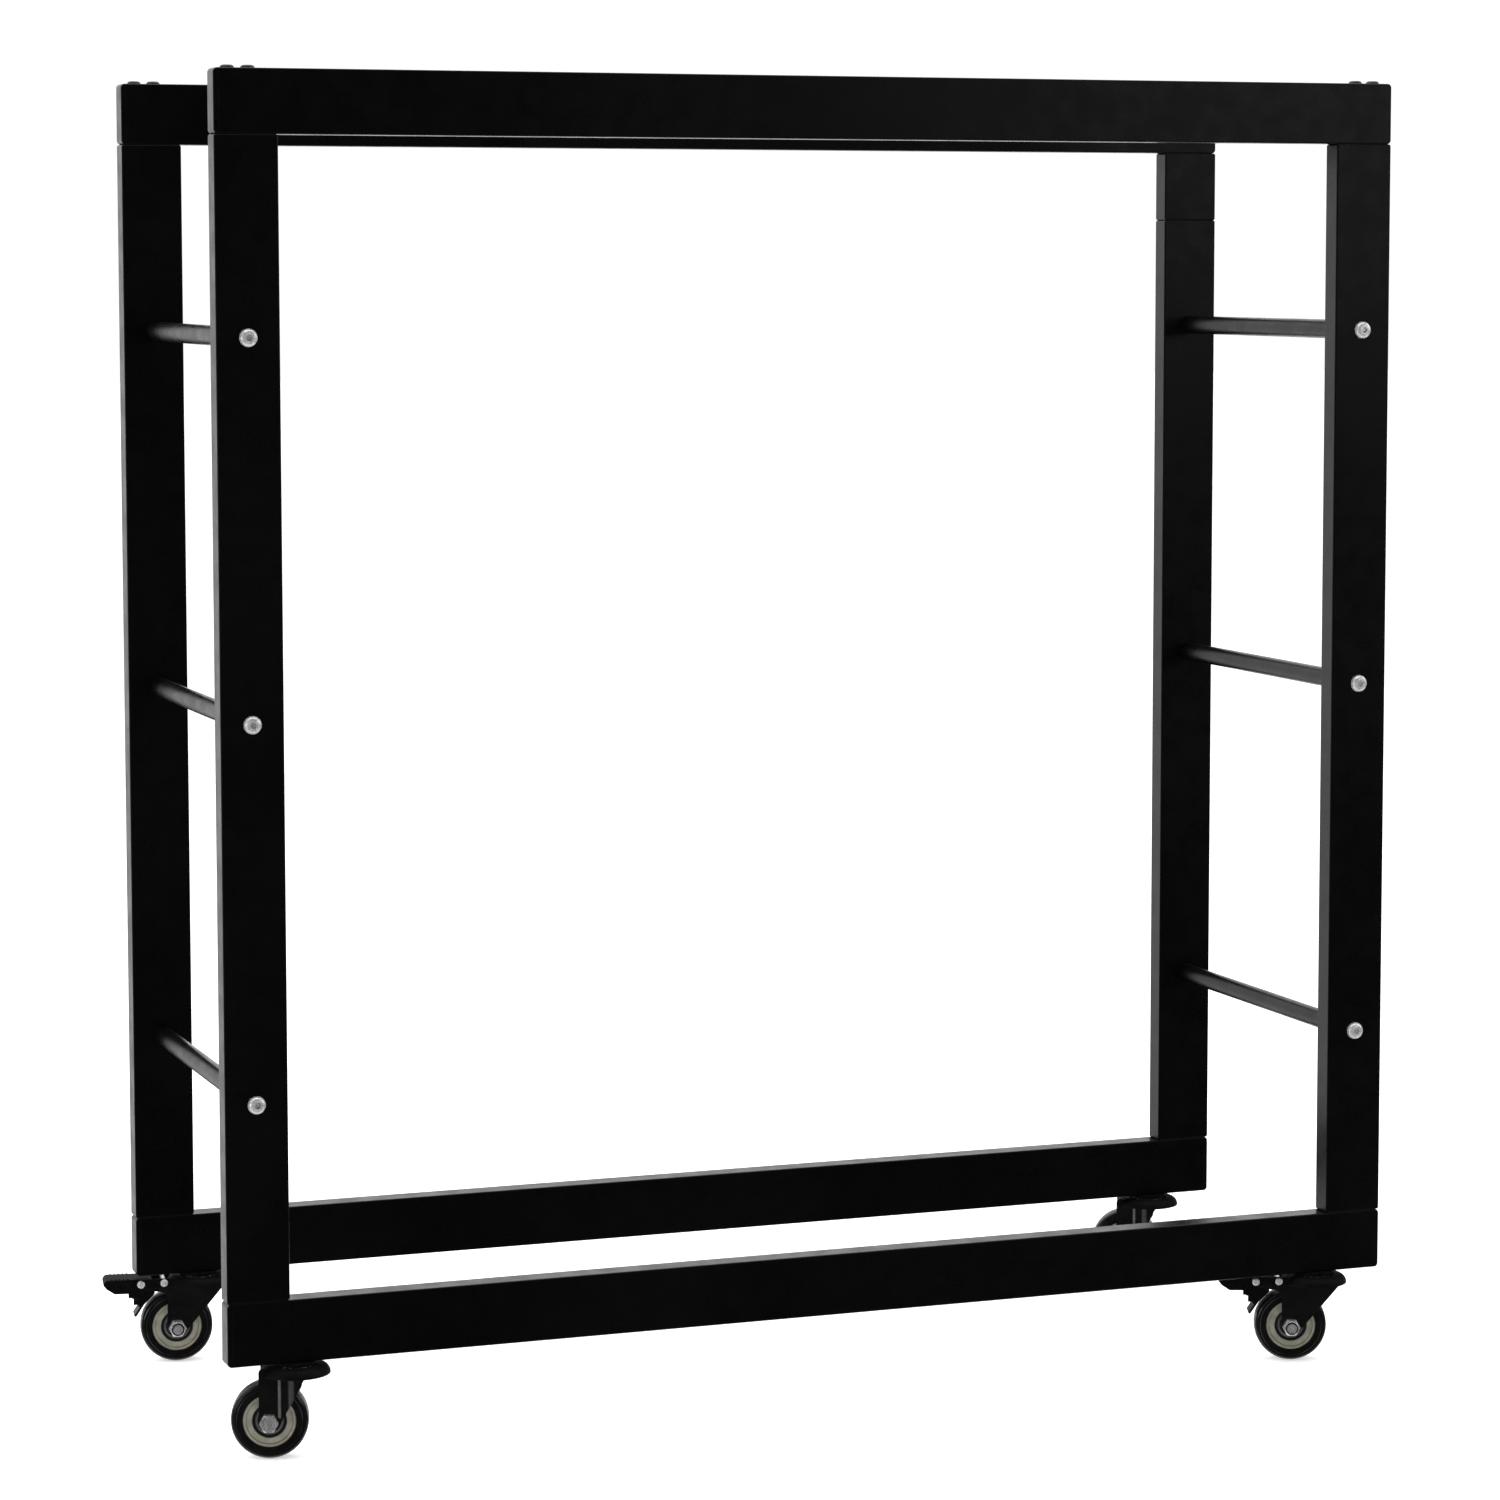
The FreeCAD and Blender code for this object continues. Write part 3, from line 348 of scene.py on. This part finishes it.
def fork_coat(corner):
    """Black coat over pressed steel: glossy legs with a painted highlight on the rib crowns, and a matt dished
    head.
    """
    wheel = Wheel(corner)
    f = Finish(corner + "_fork_black", (0.0022, 0.0023, 0.0024), roughness=0.2, specular=0.55)
    head_low = FRAME_CORNER.z - HEAD_DEPTH
    head = f.ramp(f.axes(f.place)["Z"], head_low - HEAD_BLEND, head_low + HEAD_BLEND)
    edge = f.edges(0.6 * MM)
    cloud = f.noise(70.0, detail=4.0)
    base = f.mix(f.ramp(cloud, 0.3, 0.7), scaled(f.color, 0.7), scaled(f.color, 1.6))
    wear = f.math("MULTIPLY", edge, f.ramp(head, 0.0, 1.0, 0.45, 0.12))
    worn = f.mix(wear, base, (0.030, 0.030, 0.032))
    # Painted highlight: the rib crowns are coloured light grey, brighter and patchier on the front rib, to stand
    # in for their reflections.
    crown = f.ramp(f.math("ABSOLUTE", wheel.along(f)), RIB_FOOT, RIB_CROWN)
    on_leg = f.math("MULTIPLY", crown, f.math("SUBTRACT", 1.0, head))
    which_rib = f.ramp(wheel.ahead(f), *BETWEEN_RIBS, 0.95, 0.40)
    patchy_highlight = f.ramp(f.noise(160.0, detail=4.0), 0.30, 0.65, 0.7, 1.0)
    painted_highlight = f.math("MULTIPLY", on_leg, f.math("MULTIPLY", which_rib, patchy_highlight))
    f.use("Base Color", f.mix(painted_highlight, worn, (0.125, 0.125, 0.122)))
    gloss = f.ramp(f.noise(240.0, detail=4.0), 0.3, 0.7, 0.16, 0.26)
    f.use("Roughness", f.math("ADD", gloss, f.math("MULTIPLY", head, 0.42)))
    f.use("Specular IOR Level", f.ramp(head, 0.0, 1.0, 0.60, 0.08))
    f.bump(
        (f.noise(110.0, detail=2.0), 0.08 * MM, 0.18),
        (f.noise(1300.0, detail=2.0), 0.02 * MM, 0.2),
    )
    return f.material


def black_race():
    """Swivel races coloured near black as painted shade for the dark gap under the frame bar: matt, oily in
    patches.
    """
    # Painted shade: the near-black colour stands in for the shade under the frame bar.
    f = Finish("race_black", (0.0022, 0.0022, 0.0024), roughness=0.6, specular=0.10)
    oil = f.ramp(f.noise(210.0, detail=4.0), 0.45, 0.70)
    f.use("Base Color", f.mix(oil, (0.0020, 0.0020, 0.0022), (0.0055, 0.0052, 0.0048)))
    f.use("Roughness", f.ramp(oil, 0.0, 1.0, 0.66, 0.48))
    f.bump((f.noise(900.0, detail=3.0), 0.04 * MM, 0.4))
    return f.material


def pedal_coat():
    """Black coated pressed steel, rubbed duller and lighter where a shoe treads."""
    f = Finish("pedal_black", (0.0025, 0.0025, 0.0028), roughness=0.62, specular=0.05)
    edge = f.edges(0.6 * MM)
    rub = f.ramp(f.noise(420.0, detail=5.0, stretch=(1.0, 5.0, 1.0)), 0.50, 0.72)
    base = f.mix(f.math("MULTIPLY", rub, 0.4), f.color, (0.012, 0.012, 0.013))
    f.use("Base Color", f.mix(f.math("MULTIPLY", edge, 0.5), base, (0.038, 0.038, 0.040)))
    f.use("Roughness", f.ramp(rub, 0.0, 1.0, 0.60, 0.78))
    f.bump((f.noise(900.0, detail=3.0), 0.05 * MM, 0.5))
    return f.material


def spring_strip():
    """Blackened spring steel, rubbed bright along its edges."""
    f = Finish("spring_steel", (0.008, 0.008, 0.009), metallic=0.0, roughness=0.4, specular=0.10)
    edge = f.edges(0.5 * MM)
    grain = f.noise(380.0, detail=5.0, stretch=(6.0, 6.0, 1.0))
    base = f.mix(f.ramp(grain, 0.35, 0.7), (0.003, 0.003, 0.004), (0.009, 0.009, 0.010))
    f.use("Base Color", f.mix(f.math("MULTIPLY", edge, 0.35), base, (0.05, 0.05, 0.053)))
    f.use("Roughness", f.ramp(grain, 0.3, 0.7, 0.34, 0.50))
    f.bump((grain, 0.03 * MM, 0.4))
    return f.material


def rubber():
    """Matt black moulded rubber with a dusty bloom."""
    f = Finish("seal_rubber", (0.011, 0.011, 0.011), roughness=0.55, specular=0.35)
    bloom = f.ramp(f.noise(180.0, detail=5.0), 0.45, 0.75)
    f.use("Base Color", f.mix(bloom, f.color, (0.026, 0.026, 0.027)))
    f.use("Roughness", f.ramp(bloom, 0.0, 1.0, 0.45, 0.62))
    f.bump((f.noise(2200.0, detail=2.0), 0.03 * MM, 0.4))
    return f.material


def nylon():
    """The dark nylon insert of a lock nut."""
    f = Finish("nylon_ring", (0.010, 0.011, 0.013), roughness=0.38, specular=0.2)
    f.use("Base Color", f.mix(f.noise(700.0), (0.006, 0.007, 0.009), (0.016, 0.017, 0.020)))
    f.use("Roughness", f.ramp(f.noise(1500.0), 0.3, 0.7, 0.30, 0.46))
    f.bump((f.noise(2500.0), 0.03 * MM, 0.3))
    return f.material


def tyre_skin(corner):
    """Glossy black polyurethane: faint mould rings on the sides, a painted highlight ring at the bead, and a
    scuffed and dusty tread.
    """
    wheel = Wheel(corner)
    f = Finish(corner + "_tyre_black", (0.0026, 0.0024, 0.0027), roughness=0.2, specular=0.42)
    radius = wheel.radius(f)
    tread = f.ramp(radius, *TREAD)
    scuff = f.ramp(f.noise(330.0, detail=6.0, roughness=0.6), 0.48, 0.72)
    worn = f.math("MULTIPLY", tread, f.math("ADD", f.math("MULTIPLY", scuff, 0.6), 0.25))
    cloud = f.noise(90.0, detail=3.0)
    base = f.mix(f.ramp(cloud, 0.35, 0.7), f.color, (0.0050, 0.0044, 0.0052))
    # Painted highlight: a patchy light grey ring at the bead stands in for its reflection.
    bead_highlight = f.line(radius, BEAD_HIGHLIGHT, BEAD_HIGHLIGHT_HALF)
    patchy_highlight = f.math("MULTIPLY", bead_highlight, f.ramp(f.noise(38.0), 0.42, 0.62, 0.15, 0.9))
    painted_highlight = f.mix(patchy_highlight, base, (0.085, 0.082, 0.086))
    f.use("Base Color", f.mix(worn, painted_highlight, (0.013, 0.012, 0.011)))
    f.use("Specular IOR Level", f.ramp(tread, 0.0, 1.0, 0.42, 0.12))
    gloss = f.ramp(f.noise(520.0, detail=4.0), 0.3, 0.7, 0.14, 0.24)
    f.use("Roughness", f.math("ADD", gloss, f.math("MULTIPLY", worn, 0.45)))
    f.bump(
        (f.waves(radius, TYRE_RING_PITCH), 0.03 * MM, 0.35),
        (f.line(wheel.along(f), 0.0, PARTING_HALF), 0.15 * MM, 0.6),
        (f.noise(800.0, detail=3.0), 0.05 * MM, 0.25),
    )
    return f.material


def core_nylon(corner):
    """Moulded olive beige nylon: flow marks round the hub, grime in the steps and beside the tyre, and painted
    shade in and round the hub recess.
    """
    f = Finish(corner + "_core_beige", (0.30, 0.29, 0.225), roughness=0.42, specular=0.45)
    radius = Wheel(corner).radius(f)
    flow = f.noise(140.0, detail=5.0, roughness=0.6)
    base = f.mix(f.ramp(flow, 0.35, 0.68), (0.245, 0.238, 0.182), (0.335, 0.322, 0.258))
    step = f.math("MULTIPLY", f.line(radius, CORE_STEP, CORE_STEP_HALF), 0.65)
    rim = f.ramp(radius, *CORE_RIM, 0.0, 0.5)
    # Painted shade: darker round the hub recess. The step and rim marks are grime.
    lip = f.ramp(radius, *CORE_LIP, 1.0, 0.0)
    grime_and_shade = f.math("MAXIMUM", step, f.math("MAXIMUM", rim, lip))
    broken = f.math("MULTIPLY", grime_and_shade, f.ramp(f.noise(420.0, detail=4.0), 0.25, 0.6, 0.7, 1.0))
    grimy_and_shaded = f.mix(broken, base, (0.055, 0.052, 0.040))
    # Painted shade: the hub recess is coloured near black.
    recess = f.ramp(radius, *CORE_RECESS, 1.0, 0.0)
    f.use("Base Color", f.mix(recess, grimy_and_shaded, (0.012, 0.012, 0.010)))
    f.use("Roughness", f.ramp(f.noise(650.0, detail=3.0), 0.3, 0.7, 0.34, 0.50))
    rings = f.waves(radius, CORE_RING_PITCH)
    f.bump((rings, 0.02 * MM, 0.3), (f.noise(1100.0, detail=3.0), 0.05 * MM, 0.35))
    f.set("Subsurface Weight", 0.08)
    f.set("Subsurface Scale", 1.5 * MM)
    return f.material


def paint(name, material):
    for slot in nodes[name].material_slots:
        slot.material = material


def finish_cad_nodes():
    """Gives every CAD node the material of its slot."""
    shared = {
        "powder_black": powder_coat(),
        "zinc_plate": zinc(),
        "black_oxide": black_oxide(),
        "plain_steel": plain_steel(),
        "fork_black": black_race(),
        "bearing_steel": plain_steel("bearing_steel", (0.20, 0.20, 0.21), (0.14, 0.30), 0.5),
        "pedal_black": pedal_coat(),
        "spring_steel": spring_strip(),
    }
    for part in frame["record"]["subparts"]:
        if part["material_slot"] in shared:
            paint(part["node"], shared[part["material_slot"]])
    axle_zinc = zinc("axle_zinc", (0.66, 0.66, 0.66), 0.78)
    for corner in CORNERS:
        paint(corner + "_axle_bolt", axle_zinc)
        paint(corner + "_axle_nut", axle_zinc)
        paint(corner + "_fork", fork_coat(corner))
        paint(corner + "_tyre", tyre_skin(corner))
        paint(corner + "_wheel_core", core_nylon(corner))


def soften_edges(name, width):
    """Rounds a pressed part's sharp edges. The faces are joined up first, so that edges exist."""
    part = nodes[name]
    weld = part.modifiers.new("join", "WELD")
    weld.merge_threshold = JOIN_DISTANCE
    bevel = part.modifiers.new("edges", "BEVEL")
    bevel.width = width
    bevel.segments = 2
    bevel.limit_method = "ANGLE"
    bevel.angle_limit = PRESSED_EDGE_ANGLE
    part.modifiers.new("normals", "WEIGHTED_NORMAL")


# Added pieces

def turned_piece(name, profile, face, material):
    """A closed ring turned about local Z, from (radius, height over a face) in millimetres."""
    points = [(radius * MM, face + height * MM) for radius, height in profile]
    count = len(points)
    vertices = []
    faces = []
    for i in range(TURNED_STEPS):
        angle = FULL_TURN * i / TURNED_STEPS
        here, there = i * count, (i + 1) % TURNED_STEPS * count
        for k, (radius, height) in enumerate(points):
            after = (k + 1) % count
            vertices.append((radius * math.cos(angle), radius * math.sin(angle), height))
            faces.append((here + k, there + k, there + after, here + after))
    mesh = bpy.data.meshes.new(name)
    mesh.from_pydata(vertices, [], faces)
    mesh.update()
    mesh.shade_smooth()
    mesh.materials.append(material)
    piece = bpy.data.objects.new(name, mesh)
    bpy.context.scene.collection.objects.link(piece)
    crease = piece.modifiers.new("edges", "BEVEL")
    crease.width = TURNED_EDGE
    crease.segments = 2
    crease.limit_method = "ANGLE"
    crease.angle_limit = TURNED_EDGE_ANGLE
    piece.modifiers.new("normals", "WEIGHTED_NORMAL")
    return piece


def onto_axle(piece, wheel, side, body):
    """Turns a piece made about Z onto a wheel's axle, facing outwards on one side."""
    out = wheel.axis * side
    turn = out.to_track_quat("Z", "Y").to_matrix().to_4x4()
    piece.matrix_world = Matrix.Translation(wheel.centre) @ turn
    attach(piece, body)


def add_seals(material):
    """A lipped rubber seal over each bearing's shield."""
    for corner in CORNERS:
        wheel = Wheel(corner)
        for side, word in ((-1, "near"), (1, "far")):
            name = f"{corner}_{word}_seal"
            seal = turned_piece(name, SEAL_PROFILE, SEAL_FACE, material)
            onto_axle(seal, wheel, side, corner + "_wheel_body")


def add_nut_inserts(material):
    """The nylon insert that shows in the mouth of each lock nut."""
    for corner in CORNERS:
        wheel = Wheel(corner)
        nut_low, nut_high = (Vector(v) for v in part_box(corner + "_axle_nut"))
        nut = (nut_low + nut_high) / 2 - wheel.centre
        side = 1 if nut.dot(wheel.axis) > 0 else -1
        name = f"{corner}_nut_insert"
        insert = turned_piece(name, INSERT_PROFILE, NUT_FACE, material)
        onto_axle(insert, wheel, side, corner + "_fork_body")


# Floor, light and camera

def make_floor():
    """A plain white floor that lights the object faintly and isn't mirrored in it."""
    mesh = bpy.data.meshes.new("floor")
    around = ((-1, -1), (1, -1), (1, 1), (-1, 1))
    corners = [(x * FLOOR_REACH, y * FLOOR_REACH, 0.0) for x, y in around]
    mesh.from_pydata(corners, [], [(0, 1, 2, 3)])
    floor = bpy.data.objects.new("floor", mesh)
    bpy.context.scene.collection.objects.link(floor)
    f = Finish("floor_white", (0.90, 0.90, 0.90), roughness=0.9, specular=0.0)
    f.use("Base Color", f.mix(f.noise(6.0), (0.895, 0.895, 0.895), (0.905, 0.905, 0.905)))
    f.set("Emission Color", WHITE)
    f.use("Emission Strength", f.ramp(f.camera_ray(), 0.0, 1.0, *FLOOR_GLOW))
    mesh.materials.append(f.material)
    floor.visible_glossy = False


def make_world():
    """A white backdrop that lights the object from behind, and dimly in front and at the sides."""
    world = bpy.data.worlds.new("studio")
    bpy.context.scene.world = world
    world.use_nodes = True
    w = Nodes(world.node_tree)
    background = w.tree.nodes["Background"]
    direction = w.axes(w.node("ShaderNodeTexCoord").outputs["Generated"])
    behind = w.ramp(direction["Y"], *BEHIND_FROM, *BEHIND_LIGHT)
    sides = w.ramp(w.math("ABSOLUTE", direction["X"]), *SIDES_FROM, *SIDES_SHARE)
    choose = w.node("ShaderNodeMix", data_type="FLOAT")
    w.put(choose.inputs["Factor"], w.camera_ray())
    w.put(choose.inputs["A"], w.math("MULTIPLY", behind, sides))
    w.put(choose.inputs["B"], BACKDROP)
    w.put(background.inputs["Strength"], choose.outputs["Result"])
    w.put(background.inputs["Color"], WHITE)


def area_light(name, place, target, size, power, mirrored=True):
    """A soft box in watts. One that isn't mirrored lights matt surfaces only."""
    data = bpy.data.lights.new(name, "AREA")
    data.shape = "RECTANGLE"
    data.size, data.size_y = size
    data.energy = power
    lamp = bpy.data.objects.new(name, data)
    lamp.location = place
    aim = Vector(target) - Vector(place)
    lamp.rotation_mode = "QUATERNION"
    lamp.rotation_quaternion = aim.to_track_quat("-Z", "Y")
    lamp.visible_glossy = mirrored
    bpy.context.scene.collection.objects.link(lamp)


def make_lights():
    area_light("overhead", (0.0, 0.6, 3.6), (0.0, 0.0, 0.0), (4.5, 4.5), 90.0)
    area_light("left_box", (-2.2, 0.4, 1.1), (0.0, 0.0, 0.5), (2.0, 2.2), 22.0, mirrored=False)
    area_light("front_box", (1.9, -2.8, 1.35), (0.4, -0.2, 1.0), (1.2, 1.0), 4.5)
    area_light("low_box", (-3.0, -1.3, 0.5), (0.0, 0.0, 0.3), (1.0, 0.9), 8.0)
    area_light("right_box", (3.4, -1.2, 1.9), (0.0, 0.0, 0.6), (1.6, 2.2), 22.0)


def make_camera():
    """The camera that takes the reference view, placed from the frame's corner."""
    data = bpy.data.cameras.new("camera")
    data.sensor_width = SENSOR
    data.lens = LENS
    data.shift_y = CAMERA_SHIFT
    data.clip_end = FAR_CLIP
    camera = bpy.data.objects.new("camera", data)
    bpy.context.scene.collection.objects.link(camera)
    facing = Vector((
        math.sin(CAMERA_YAW) * math.cos(CAMERA_PITCH),
        math.cos(CAMERA_YAW) * math.cos(CAMERA_PITCH),
        math.sin(CAMERA_PITCH),
    ))
    roll = Matrix.Rotation(CAMERA_ROLL, 4, "Z")
    turn = facing.to_track_quat("-Z", "Y").to_matrix().to_4x4()
    camera.matrix_world = Matrix.Translation(FRAME_CORNER + CAMERA_OFFSET) @ turn @ roll
    bpy.context.scene.camera = camera


finish_cad_nodes()
for corner in CORNERS:
    soften_edges(corner + "_fork", FORK_EDGE)
for corner in BRAKED:
    soften_edges(corner + "_brake_pedal", PEDAL_EDGE)
    soften_edges(corner + "_brake_shoe", SHOE_EDGE)
add_seals(rubber())
add_nut_inserts(nylon())
make_floor()
make_world()
make_lights()
make_camera()
bpy.context.scene.view_settings.view_transform = "Standard"
